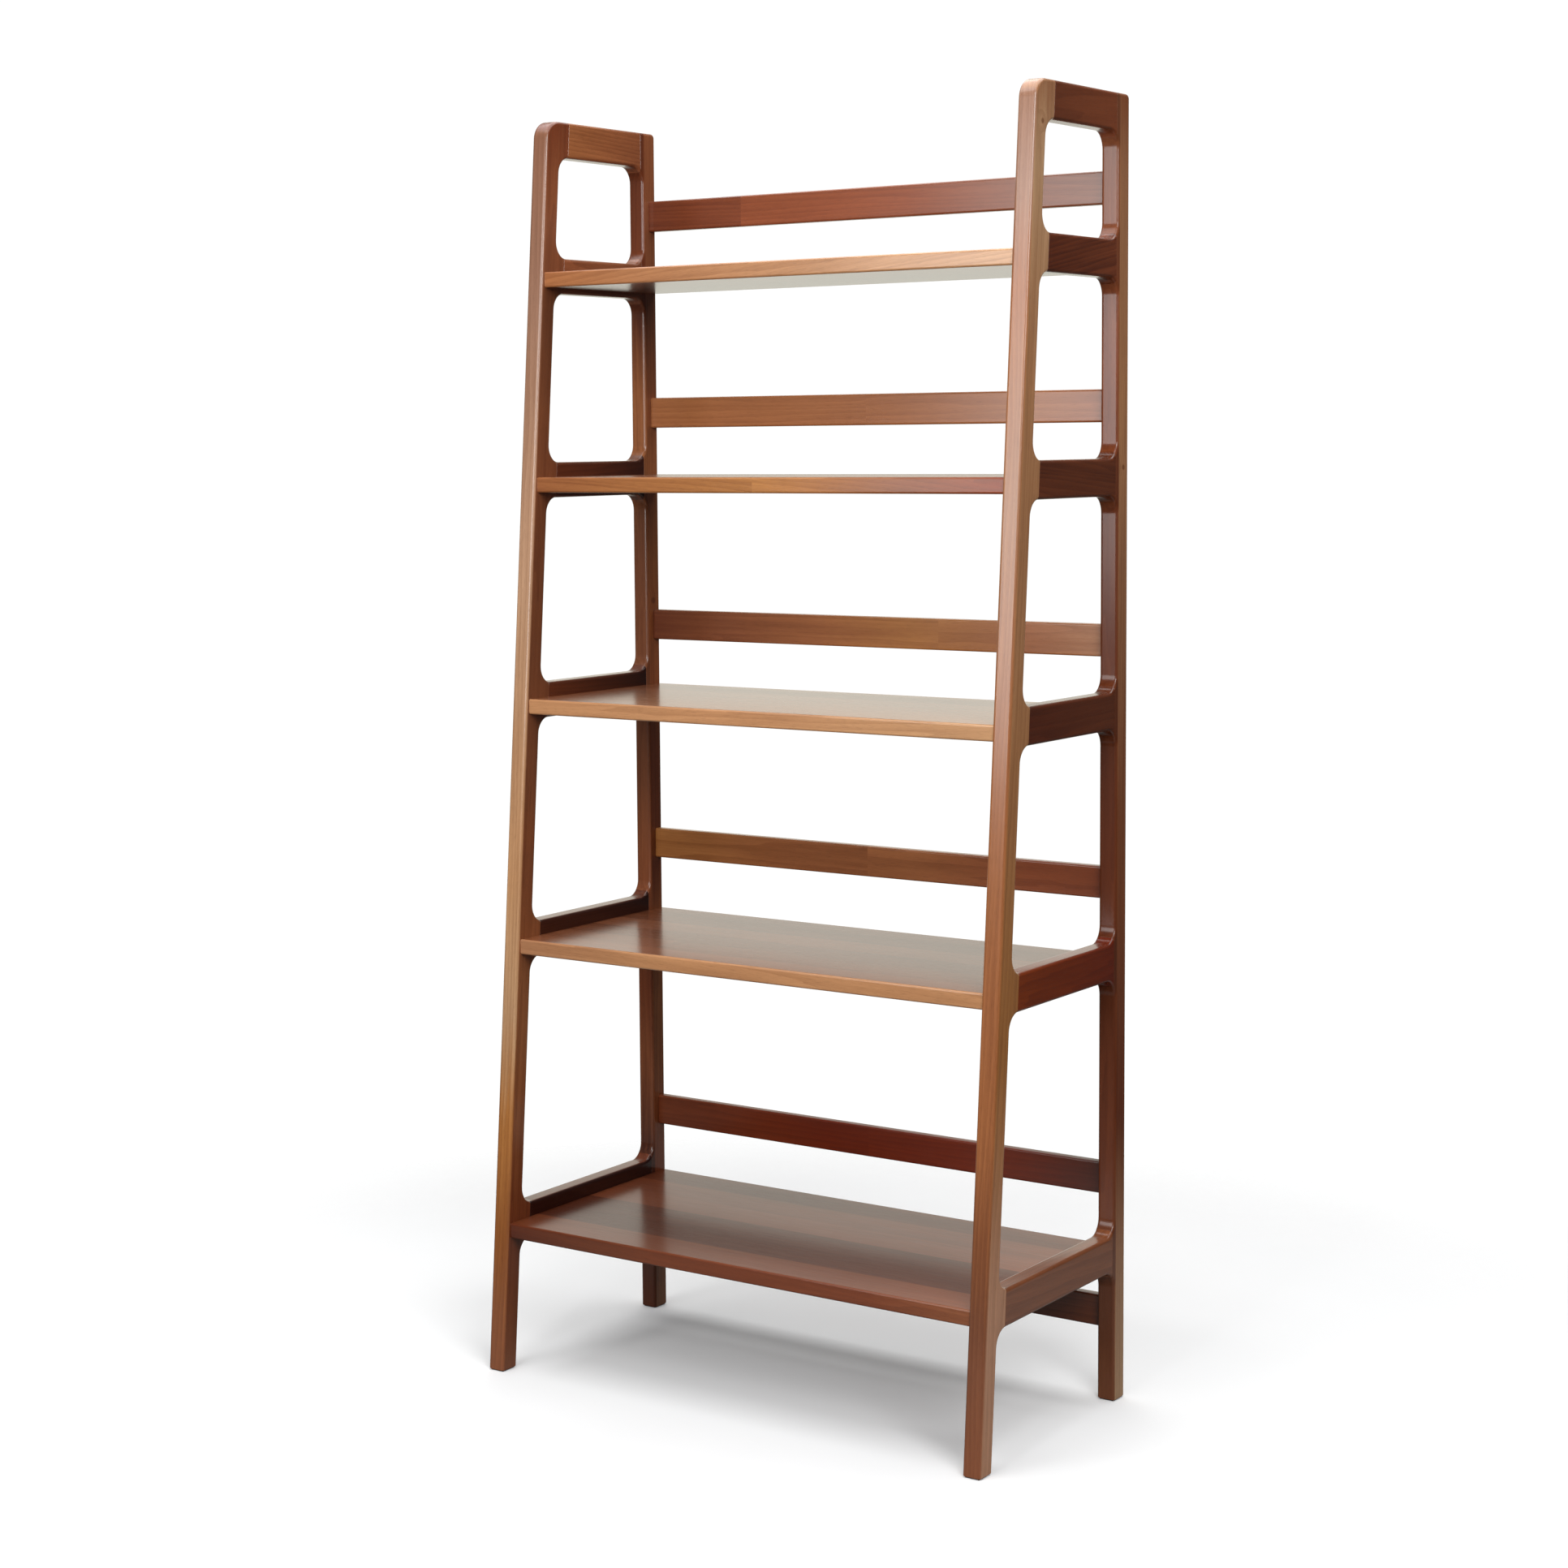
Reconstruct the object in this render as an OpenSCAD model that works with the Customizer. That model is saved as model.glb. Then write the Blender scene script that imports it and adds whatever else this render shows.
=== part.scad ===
// Five-shelf ladder shelf: two tapered side frames, five boards and six back rails,
// all joined with hidden dowels. X is the width, the front looks along -Y, +Z is up,
// and the origin lies on the floor, in the middle of the width and depth.

/* [Overall] */
// Width over the outer faces of the two side frames
width = 820; // [500:10:1200]
// Depth of a side frame at the feet
depth = 405; // [330:5:600]
// Depth of a side frame at its top
top_depth = 259; // [220:1:320]

/* [Heights] */
// Height of the lowest shelf's top above the floor
low_shelf = 216; // [170:1:400]
// Clear height above shelf 5, the lowest
bay_5 = 389; // [190:1:600]
// Clear height above shelf 4
bay_4 = 324; // [190:1:600]
// Clear height above shelf 3
bay_3 = 296; // [190:1:600]
// Clear height above shelf 2
bay_2 = 271; // [190:1:600]
// Height of the side frames above shelf 1, the highest
bay_1 = 216; // [190:1:600]

/* [Side frames] */
// Thickness of the side frames
frame_t = 27; // [22:1:40]
// Width of the front legs, along the depth
front_leg_w = 32; // [26:1:50]
// Width of the back legs, along the depth
back_leg_w = 31; // [26:1:50]
// Height of the side rails
rail_h = 51; // [47:1:80]
// Rise of the side rails above the shelf between them
rail_lip = 21; // [10:1:23]
// Reach of the ears on the front legs that the side rails meet
front_ear = 18; // [4:1:24]
// Reach of the ears on the back legs that the side rails meet
back_ear = 6; // [4:1:24]
// Radius of the corners inside the side frames
window_r = 24; // [8:1:30]
// Radius of the top corner of the front legs
front_top_r = 27; // [5:1:30]
// Radius of the top corner of the back legs
back_top_r = 7; // [2:1:25]

/* [Shelves] */
// Thickness of the shelves
shelf_t = 22; // [16:1:24]
// Distance from the front of the legs to the front edge of a shelf
shelf_front_set = 4; // [0:0.5:12]
// Distance from the back of the legs to the back edge of a shelf
shelf_back_set = 4; // [0:0.5:12]
// Radius of the long edges of the shelves
shelf_edge_r = 3; // [0.5:0.5:7]

/* [Back rails] */
// Height of the back rails
back_rail_h = 45; // [34:1:70]
// Thickness of the back rails
back_rail_t = 15; // [12:1:20]
// Distance from the back of the legs to the back rails
back_rail_set = 3; // [0:0.5:8]
// Radius of the long edges of the back rails
back_rail_edge_r = 3; // [0.5:0.5:5]
// Gap between shelf 5 and the back rail above it
back_gap_5 = 74; // [30:1:100]
// Gap between shelf 4 and the back rail above it
back_gap_4 = 79; // [30:1:100]
// Gap between shelf 3 and the back rail above it
back_gap_3 = 68; // [30:1:100]
// Gap between shelf 2 and the back rail above it
back_gap_2 = 70; // [30:1:100]
// Gap between shelf 1 and the back rail above it
back_gap_1 = 70; // [30:1:100]
// Gap between the lowest back rail and the lowest shelf
low_back_gap = 49; // [10:1:60]

/* [Dowels] */
// Diameter of the dowels in the side frames and shelves
dowel_d = 8; // [6:1:10]
// Depth of a dowel in each of the two pieces of a side frame
frame_dowel_depth = 22; // [12:1:24]
// Depth of a shelf or back rail dowel in the side frame
side_dowel_depth = 16; // [10:1:18]
// Depth of a shelf or back rail dowel in the end of its board
end_dowel_depth = 20; // [12:1:30]
// Diameter of the dowels in the back rails
back_dowel_d = 6; // [5:1:8]
// Distance from the edge of a side rail or back rail to the middle of a dowel
dowel_edge = 12; // [10:1:14]
// Distance from the end of a side rail to the nearest shelf dowel
shelf_dowel_inset = 45; // [40:1:60]
// Play between a dowel and its hole, on the radius
dowel_play = 0.05; // [0.02:0.01:0.2]
// Room for glue past the end of a dowel in its second piece
glue_room = 1.5; // [0.5:0.5:3]

/* [Feet] */
// Thickness of the glide under each leg
pad_t = 1.5; // [1:0.5:5]
// Distance from the faces of a leg to its glide
pad_set = 2.5; // [1:0.5:6]

/* [Hidden] */
$fn = 48;
SIDES = ["left", "right"];
SHELVES = [1:5];
BACK_RAILS = [1:6];

past = 1;                // how far a cut runs past the face that it opens
bays = [bay_1, bay_2, bay_3, bay_4, bay_5];
back_gaps = [back_gap_1, back_gap_2, back_gap_3, back_gap_4, back_gap_5];

// Shelf 1 is the highest. A shelf's top is the bay and board above the next one down.
function shelf_top(i) = i == 5 ? low_shelf : shelf_top(i + 1) + bays[i] + shelf_t;
height = shelf_top(1) + bay_1;

// Side rails 1 to 5 hold the shelves, and rail 0 is the top rail.
function rail_top(i) = i == 0 ? height : shelf_top(i) + rail_lip;
function rail_bottom(i) = rail_top(i) - rail_h;

// Back rails 1 to 5 stand above the shelves, and back rail 6 hangs below shelf 5.
function back_rail_bottom(i) =
    i == 6 ? low_shelf - shelf_t - low_back_gap - back_rail_h : shelf_top(i) + back_gaps[i - 1];

// The side frame's own plane: its first axis is Y and its second is Z.
back_y = depth / 2;
lean = (depth - top_depth) / (height - pad_t);
function front_y(z) = -back_y + lean * (z - pad_t);
function front_joint_y(z) = front_y(z) + front_leg_w + front_ear;
back_joint_y = back_y - back_leg_w - back_ear;
inner_x = width / 2 - frame_t;

function unit(v) = v / norm(v);

// An outline with straight sides, each corner rounded with its own true arc.
module rounded_outline(corners, radii) {
    n = len(corners);
    ways = [for (k = [0:n - 1]) let (
        to_last = unit(corners[(k + n - 1) % n] - corners[k]),
        to_next = unit(corners[(k + 1) % n] - corners[k]),
        half = acos(to_last * to_next) / 2
    ) [to_last, to_next, half]];
    polygon([for (k = [0:n - 1]) for (j = [0:(radii[k] > 0 ? 1 : 0)])
        corners[k] + ways[k][j] * radii[k] / tan(ways[k][2])]);
    for (k = [0:n - 1]) if (radii[k] > 0)
        translate(corners[k] + unit(ways[k][0] + ways[k][1]) * radii[k] / sin(ways[k][2]))
            circle(r = radii[k]);
}

// One opening of a side frame between two heights. The lowest is open at the floor.
module window(low, high, open_below = false) {
    low_r = open_below ? 0 : window_r;
    rounded_outline(
        [
            [front_y(low) + front_leg_w, low],
            [back_y - back_leg_w, low],
            [back_y - back_leg_w, high],
            [front_y(high) + front_leg_w, high]
        ],
        [low_r, low_r, window_r, window_r]
    );
}

// The whole side frame as one outline, before it is parted into legs and rails.
module frame_outline() {
    difference() {
        rounded_outline(
            [[front_y(pad_t), pad_t], [back_y, pad_t], [back_y, height], [front_y(height), height]],
            [0, 0, back_top_r, front_top_r]
        );
        for (i = SHELVES) window(rail_top(i), rail_bottom(i - 1));
        window(pad_t - past, rail_bottom(5), open_below = true);
    }
}

// Stands a flat outline up as a slab of the left side frame.
module frame_slab() {
    translate([-width / 2, 0, 0]) rotate([90, 0, 90]) linear_extrude(frame_t) children();
}

// Everything is drawn for the left side, and mirrored for the right.
module on_side(side) {
    if (side == "left") children();
    else mirror([1, 0, 0]) children();
}

module front_leg_zone() {
    polygon([
        [front_y(-past) - past, -past],
        [front_joint_y(-past), -past],
        [front_joint_y(height + past), height + past],
        [front_y(-past) - past, height + past]
    ]);
}

module back_leg_zone() {
    translate([back_joint_y, -past]) square([back_y - back_joint_y + past, height + 2 * past]);
}

// The strip that one side rail is cut from, up to the middle of the openings beside it.
module rail_zone(i) {
    low = i == 5 ? rail_bottom(5) - window_r - past : (rail_bottom(i) + rail_top(i + 1)) / 2;
    high = i == 0 ? height + past : (rail_top(i) + rail_bottom(i - 1)) / 2;
    polygon([
        [front_joint_y(low), low],
        [back_joint_y, low],
        [back_joint_y, high],
        [front_joint_y(high), high]
    ]);
}

// A dowel lies along +Z with its joint at the origin: first_depth below, second_depth above.
module dowel(d, first_depth, second_depth) {
    translate([0, 0, -first_depth]) cylinder(d = d, h = first_depth + second_depth);
}

// The hole for the same dowel: it stands on the first hole's floor and has glue room above.
module dowel_hole(d, first_depth, second_depth) {
    translate([0, 0, -first_depth])
        cylinder(r = d / 2 + dowel_play, h = first_depth + second_depth + glue_room);
}

// Places a dowel or hole across both joints of every side rail of the left frame.
module at_frame_dowels() {
    for (i = [0:5]) for (z = [rail_bottom(i) + dowel_edge, rail_top(i) - dowel_edge]) {
        translate([-width / 2 + frame_t / 2, front_joint_y(z), z]) rotate([-90, 0, 0]) children();
        translate([-width / 2 + frame_t / 2, back_joint_y, z]) rotate([90, 0, 0]) children();
    }
}

// Places three dowels or holes in the left end of shelf i, along X.
module at_shelf_dowels(i) {
    z = shelf_top(i) - shelf_t / 2;
    first = front_joint_y(z) + shelf_dowel_inset;
    last = back_joint_y - shelf_dowel_inset;
    for (y = [first, (first + last) / 2, last])
        translate([-inner_x, y, z]) rotate([0, 90, 0]) children();
}

// Places two dowels or holes in the left end of back rail i, along X.
module at_back_rail_dowels(i) {
    y = back_y - back_rail_set - back_rail_t / 2;
    low = back_rail_bottom(i);
    for (z = [low + dowel_edge, low + back_rail_h - dowel_edge])
        translate([-inner_x, y, z]) rotate([0, 90, 0]) children();
}

module frame_dowel_holes() {
    at_frame_dowels() dowel_hole(dowel_d, frame_dowel_depth, frame_dowel_depth);
}

module shelf_dowel_holes(i) {
    at_shelf_dowels(i) dowel_hole(dowel_d, side_dowel_depth, end_dowel_depth);
}

module back_rail_dowel_holes(i) {
    at_back_rail_dowels(i) dowel_hole(back_dowel_d, side_dowel_depth, end_dowel_depth);
}

module front_leg(side) {
    color("#8a4b2a") on_side(side) difference() {
        frame_slab() intersection() {
            frame_outline();
            front_leg_zone();
        }
        frame_dowel_holes();
    }
}

module back_leg(side) {
    color("#6f3b22") on_side(side) difference() {
        frame_slab() intersection() {
            frame_outline();
            back_leg_zone();
        }
        frame_dowel_holes();
        for (i = BACK_RAILS) back_rail_dowel_holes(i);
    }
}

module side_rail(side, i) {
    difference() {
        frame_slab() intersection() {
            frame_outline();
            rail_zone(i);
        }
        frame_dowel_holes();
        if (i > 0) shelf_dowel_holes(i);
    }
}

module top_rail(side) {
    color("#5e2c18") on_side(side) side_rail(side, 0);
}

module shelf_rail(side, i) {
    color("#5e2c18") on_side(side) side_rail(side, i);
}

// A board across the width, with rounded long edges: low and high are its Y and Z limits.
module cross_board(low, high, edge_r) {
    translate([-inner_x, 0, 0]) rotate([90, 0, 90]) linear_extrude(2 * inner_x)
        rounded_outline(
            [low, [high.x, low.y], high, [low.x, high.y]],
            [edge_r, edge_r, edge_r, edge_r]
        );
}

module shelf(i) {
    top = shelf_top(i);
    color("#a9683f") difference() {
        cross_board(
            [front_y(top) + shelf_front_set, top - shelf_t],
            [back_y - shelf_back_set, top],
            shelf_edge_r
        );
        for (side = SIDES) on_side(side) shelf_dowel_holes(i);
    }
}

module back_rail(i) {
    low = back_rail_bottom(i);
    color("#7d4527") difference() {
        cross_board(
            [back_y - back_rail_set - back_rail_t, low],
            [back_y - back_rail_set, low + back_rail_h],
            back_rail_edge_r
        );
        for (side = SIDES) on_side(side) back_rail_dowel_holes(i);
    }
}

module frame_dowels(side) {
    color("#c9a878") on_side(side)
        at_frame_dowels() dowel(dowel_d, frame_dowel_depth, frame_dowel_depth);
}

module shelf_dowels() {
    color("#c9a878") for (side = SIDES) on_side(side) for (i = SHELVES)
        at_shelf_dowels(i) dowel(dowel_d, side_dowel_depth, end_dowel_depth);
}

module back_rail_dowels() {
    color("#c9a878") for (side = SIDES) on_side(side) for (i = BACK_RAILS)
        at_back_rail_dowels(i) dowel(back_dowel_d, side_dowel_depth, end_dowel_depth);
}

// One thin glide under each leg, a little smaller than the foot above it.
module foot_pads() {
    color("#2b211c") for (side = SIDES) on_side(side) {
        translate([-width / 2 + pad_set, front_y(pad_t) + pad_set, 0])
            cube([frame_t - 2 * pad_set, front_leg_w - 2 * pad_set, pad_t]);
        translate([-width / 2 + pad_set, back_y - back_leg_w + pad_set, 0])
            cube([frame_t - 2 * pad_set, back_leg_w - 2 * pad_set, pad_t]);
    }
}

for (side = SIDES) {
    front_leg(side);
    back_leg(side);
    top_rail(side);
    frame_dowels(side);
    for (i = SHELVES)
        shelf_rail(side, i);
}
for (i = SHELVES) shelf(i);
for (i = BACK_RAILS) back_rail(i);
shelf_dowels();
back_rail_dowels();
foot_pads();
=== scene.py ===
"""Five-shelf ladder shelf in lacquered walnut, on a plain pale floor in soft studio light."""

import math

import bmesh
import bpy
from mathutils import Matrix, Vector


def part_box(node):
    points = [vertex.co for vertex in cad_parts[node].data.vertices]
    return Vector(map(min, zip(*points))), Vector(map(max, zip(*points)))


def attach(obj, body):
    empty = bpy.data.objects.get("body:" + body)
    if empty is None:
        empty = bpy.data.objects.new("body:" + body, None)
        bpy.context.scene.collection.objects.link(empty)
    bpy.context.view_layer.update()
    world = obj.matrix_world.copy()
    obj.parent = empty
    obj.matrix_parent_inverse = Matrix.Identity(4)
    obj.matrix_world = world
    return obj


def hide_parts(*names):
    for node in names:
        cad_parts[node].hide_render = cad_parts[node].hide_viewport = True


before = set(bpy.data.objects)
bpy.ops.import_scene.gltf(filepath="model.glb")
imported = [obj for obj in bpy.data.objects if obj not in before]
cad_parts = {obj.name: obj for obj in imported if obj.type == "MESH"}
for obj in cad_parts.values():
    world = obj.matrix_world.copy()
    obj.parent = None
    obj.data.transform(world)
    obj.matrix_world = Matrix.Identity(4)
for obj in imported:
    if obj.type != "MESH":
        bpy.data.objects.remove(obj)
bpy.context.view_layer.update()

SIDES = ("left", "right")
SHELVES = range(1, 6)
BACK_RAILS = range(1, 7)

# Sizes of the side frames, in metres. Y runs to the back and Z runs up.
FRONT_LEG = 0.032
BACK_LEG = 0.031
RAIL_HEIGHT = 0.051
RAIL_LIP = 0.021
FRONT_EAR = 0.018
BACK_EAR = 0.006
WINDOW_RADIUS = 0.024
FRONT_TOP_RADIUS = 0.027
BACK_TOP_RADIUS = 0.007

# Round-overs and eased ends.
FRAME_ROUND = 0.0045
FOOT_EASE = 0.0014
JOINT_EASE = 0.00025
BOARD_ROUND = 0.003
BOARD_END_EASE = 0.0006
GLIDE_ROUND = 0.002
GLIDE_EASE = 0.0003

# Facets across each rounded edge.
CORNER_STEPS = 10
BOARD_STEPS = 5
FRAME_STEPS = 4
GLIDE_STEPS = 4
EASE_STEPS = 2
JOINT_STEPS = 1

# Shading: edges sharper than this many degrees stay sharp, and flat faces outweigh their rounded edges.
SHARP_ANGLE = 40
FLAT_FACE_WEIGHT = 90


# ---------------------------------------------------------------- places from the frame

def corners(node):
    """The lowest and highest corner of a node of the frame."""
    low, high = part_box(node)
    return Vector(low), Vector(high)


front_leg_low, front_leg_high = corners("left_front_leg")
outer_x = front_leg_low.x
inner_x = front_leg_high.x
frame_thick = inner_x - outer_x
foot_z = front_leg_low.z
top_z = front_leg_high.z
foot_front_y = front_leg_low.y
back_y = corners("left_back_leg")[1].y
shelf_top = {i: corners(f"shelf_{i}")[1].z for i in SHELVES}
shelf_front = {i: corners(f"shelf_{i}")[0].y for i in SHELVES}

# The shelves' front edges follow the front legs, so they give the legs' lean.
lean = (shelf_front[1] - shelf_front[5]) / (shelf_top[1] - shelf_top[5])
lean_angle = math.atan(lean)


def front_y(z):
    """Where the front face of a front leg is at a height."""
    return foot_front_y + lean * (z - foot_z)


def rail_top(i):
    """Rail 0 is the top rail, and rails 1 to 5 hold the shelves."""
    return top_z if i == 0 else shelf_top[i] + RAIL_LIP


def rail_bottom(i):
    return rail_top(i) - RAIL_HEIGHT


# ---------------------------------------------------------------- modelling tools

def choose(*objects):
    """Selects these objects alone, with the first one active."""
    bpy.ops.object.select_all(action="DESELECT")
    for obj in objects:
        obj.select_set(True)
    bpy.context.view_layer.objects.active = objects[0]


def work_on(obj):
    """Opens one object in edit mode."""
    choose(obj)
    bpy.ops.object.mode_set(mode="EDIT")


def close_up():
    bpy.ops.object.mode_set(mode="OBJECT")


def pick(kind, wanted):
    """In edit mode, selects only the faces or edges that are wanted."""
    bpy.ops.mesh.select_mode(type=kind)
    bpy.ops.mesh.select_all(action="DESELECT")
    mesh = bmesh.from_edit_mesh(bpy.context.object.data)
    parts = mesh.faces if kind == "FACE" else mesh.edges
    for part in [part for part in parts if wanted(part)]:
        part.select = True
    mesh.select_flush_mode()
    bmesh.update_edit_mesh(bpy.context.object.data)


def bevel(width, steps, slide=True):
    """Rounds or eases the selected edges."""
    bpy.ops.mesh.bevel(offset=width, segments=steps, profile=0.5, affect="EDGES", loop_slide=slide)


def middle(edge):
    return (edge.verts[0].co + edge.verts[1].co) / 2


def runs_along(edge, axis):
    """Whether an edge is parallel to axis 0, 1 or 2."""
    way = edge.verts[1].co - edge.verts[0].co
    return abs(way[axis]) > 0.999 * way.length


def borders(edge, kind):
    """Whether an edge has a face of one kind on just one of its sides."""
    return [bool(kind(face)) for face in edge.link_faces].count(True) == 1


def faces_sideways(face):
    return abs(face.normal.x) > 0.9


def near(a, b, slack=1e-4):
    return abs(a - b) < slack


def smooth(obj):
    """Rounded edges shade smoothly into flat faces that stay flat."""
    choose(obj)
    bpy.ops.object.shade_smooth_by_angle(angle=math.radians(SHARP_ANGLE))
    even = obj.modifiers.new("flat faces stay flat", "WEIGHTED_NORMAL")
    even.keep_sharp = True
    even.weight = FLAT_FACE_WEIGHT
    bpy.ops.object.modifier_apply(modifier=even.name)


def block(name, low, high):
    """A block from corner to corner, whose place and size are in its mesh."""
    bpy.ops.object.select_all(action="DESELECT")
    bpy.ops.mesh.primitive_cube_add(size=1, location=(low + high) / 2)
    obj = bpy.context.object
    obj.name = name
    obj.scale = high - low
    bpy.ops.object.transform_apply(location=True, rotation=True, scale=True)
    return obj


def copy_of(obj, name):
    choose(obj)
    bpy.ops.object.duplicate(linked=False)
    twin = bpy.context.object
    twin.name = name
    return twin


# ---------------------------------------------------------------- side frames

def between_legs(point):
    """Whether a point is in the open strip between the two legs."""
    return front_y(point.z) + FRONT_LEG < point.y < back_y - BACK_LEG


def in_window(point):
    """Whether a point is in a window of the side frame, or in the arch over the floor."""
    at_rail = any(rail_bottom(i) < point.z < rail_top(i) for i in range(6))
    return between_legs(point) and not at_rail


def frame_sheet():
    """The left side frame as a flat sheet on its outer face, with its windows cut out.
    It stays open in edit mode."""
    bpy.ops.object.select_all(action="DESELECT")
    bpy.ops.mesh.primitive_plane_add(size=1, location=(0, 0, 0), rotation=(0, math.pi / 2, 0))
    sheet = bpy.context.object
    sheet.name = "side_frame"
    bpy.ops.object.transform_apply(location=False, rotation=True, scale=False)
    sheet.location = (outer_x, (foot_front_y + back_y) / 2, (foot_z + top_z) / 2)
    sheet.scale = (1, back_y - foot_front_y, top_z - foot_z)
    bpy.ops.object.transform_apply(location=True, rotation=True, scale=True)
    work_on(sheet)

    # The front top corner moves back, so that the front edge leans.
    bpy.ops.mesh.select_mode(type="VERT")
    bpy.ops.mesh.select_all(action="DESELECT")
    mesh = bmesh.from_edit_mesh(sheet.data)
    for point in mesh.verts:
        point.select = near(point.co.y, foot_front_y) and near(point.co.z, top_z)
    mesh.select_flush_mode()
    bpy.ops.transform.translate(value=(0, lean * (top_z - foot_z), 0))

    # Cuts along the rails and the legs, then the windows fall out.
    lines = [(0, 0, rail_bottom(i)) for i in range(6)] + [(0, 0, rail_top(i)) for i in SHELVES]
    cuts = [(line, (0, 0, 1)) for line in lines]
    cuts.append(((0, front_y(foot_z) + FRONT_LEG, foot_z), (0, 1, -lean)))
    cuts.append(((0, back_y - BACK_LEG, 0), (0, 1, 0)))
    for place, way in cuts:
        bpy.ops.mesh.select_all(action="SELECT")
        bpy.ops.mesh.bisect(plane_co=place, plane_no=way)
    pick("FACE", lambda face: in_window(face.calc_center_median()))
    bpy.ops.mesh.delete(type="FACE")

    def cut_in_leg(edge):
        return runs_along(edge, 1) and len(edge.link_faces) == 2 and not between_legs(middle(edge))

    pick("EDGE", cut_in_leg)
    bpy.ops.mesh.dissolve_edges(use_verts=False)
    return sheet


def round_corners(at, radius, opening):
    """Rounds the corners of the slab that run along X at the given places in (y, z)."""
    def wanted(edge):
        spot = middle(edge)
        return runs_along(edge, 0) and any(near(spot.y, y) and near(spot.z, z) for y, z in at)

    pick("EDGE", wanted)
    bevel(radius / math.tan(opening / 2), CORNER_STEPS, slide=False)


def frame_slab():
    """The whole left side frame in one slab, with rounded windows, corners and long edges."""
    slab = frame_sheet()
    bpy.ops.mesh.select_all(action="SELECT")
    bpy.ops.mesh.extrude_region_move(TRANSFORM_OT_translate={"value": (frame_thick, 0, 0)})
    bpy.ops.mesh.select_all(action="SELECT")
    bpy.ops.mesh.normals_make_consistent(inside=False)
    square = math.pi / 2
    heights = [rail_bottom(i) for i in range(6)]
    sills = [rail_top(i) for i in SHELVES]
    round_corners([(front_y(z) + FRONT_LEG, z) for z in heights], WINDOW_RADIUS, square + lean_angle)
    round_corners([(front_y(z) + FRONT_LEG, z) for z in sills], WINDOW_RADIUS, square - lean_angle)
    round_corners([(back_y - BACK_LEG, z) for z in heights + sills], WINDOW_RADIUS, square)
    round_corners([(front_y(top_z), top_z)], FRONT_TOP_RADIUS, square + lean_angle)
    round_corners([(back_y, top_z)], BACK_TOP_RADIUS, square)

    def faces_down(face):
        return near(face.normal.z, -1, 0.01)

    pick("EDGE", lambda edge: borders(edge, faces_sideways) and not near(middle(edge).z, foot_z))
    bevel(FRAME_ROUND, FRAME_STEPS, slide=False)
    pick("EDGE", lambda edge: borders(edge, faces_down) and near(middle(edge).z, foot_z))
    bevel(FOOT_EASE, EASE_STEPS, slide=False)
    close_up()
    return slab


# A point on each joint between rails and legs, and the way that the joint faces.
FRONT_JOINT = (
    Vector((0, front_y(foot_z) + FRONT_LEG + FRONT_EAR, foot_z)),
    Vector((0, 1, -lean)).normalized(),
)
BACK_JOINT = (Vector((0, back_y - BACK_LEG - BACK_EAR, 0)), Vector((0, 1, 0)))


def saw(obj, joint, keep):
    """Cuts a slab at a joint, keeps its front or back part and eases the new ends."""
    place, way = joint
    work_on(obj)
    bpy.ops.mesh.select_all(action="SELECT")
    bpy.ops.mesh.bisect(plane_co=place, plane_no=way, use_fill=True,
                        clear_outer=keep == "front", clear_inner=keep == "back")

    def end_grain(face):
        return abs(face.normal.dot(way)) > 0.9999 and near((face.calc_center_median() - place).dot(way), 0)

    pick("EDGE", lambda edge: borders(edge, end_grain))
    bevel(JOINT_EASE, JOINT_STEPS, slide=False)
    close_up()


def part_frame(slab):
    """Saws the slab into a front leg, a back leg, a top rail and five shelf rails."""
    parts = {}
    parts["front_leg"] = copy_of(slab, "front_leg_wood")
    saw(parts["front_leg"], FRONT_JOINT, "front")
    parts["back_leg"] = copy_of(slab, "back_leg_wood")
    saw(parts["back_leg"], BACK_JOINT, "back")
    saw(slab, FRONT_JOINT, "back")
    saw(slab, BACK_JOINT, "front")
    work_on(slab)
    bpy.ops.mesh.separate(type="LOOSE")
    close_up()
    for rail in list(bpy.context.selected_objects):
        heights = [point.co.z for point in rail.data.vertices]
        level = (min(heights) + max(heights)) / 2
        i = min(range(6), key=lambda k: abs((rail_top(k) + rail_bottom(k)) / 2 - level))
        parts["top_rail" if i == 0 else f"shelf_rail_{i}"] = rail
    return parts


def mirrored(obj):
    """A copy of a left part, turned over to the right."""
    twin = copy_of(obj, obj.name)
    work_on(twin)
    bpy.ops.mesh.select_all(action="SELECT")
    bpy.ops.transform.resize(value=(-1, 1, 1), center_override=(0, 0, 0))
    bpy.ops.mesh.normals_make_consistent(inside=False)
    close_up()
    return twin


# ---------------------------------------------------------------- boards and glides

def cross_board(node):
    """A shelf or back rail: a board across the width with rounded long edges and eased ends."""
    low, high = corners(node)
    board = block(node, low, high)
    work_on(board)
    pick("EDGE", lambda edge: runs_along(edge, 0))
    bevel(BOARD_ROUND, BOARD_STEPS)
    pick("EDGE", lambda edge: borders(edge, faces_sideways))
    bevel(BOARD_END_EASE, EASE_STEPS)
    close_up()
    return board


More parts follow.
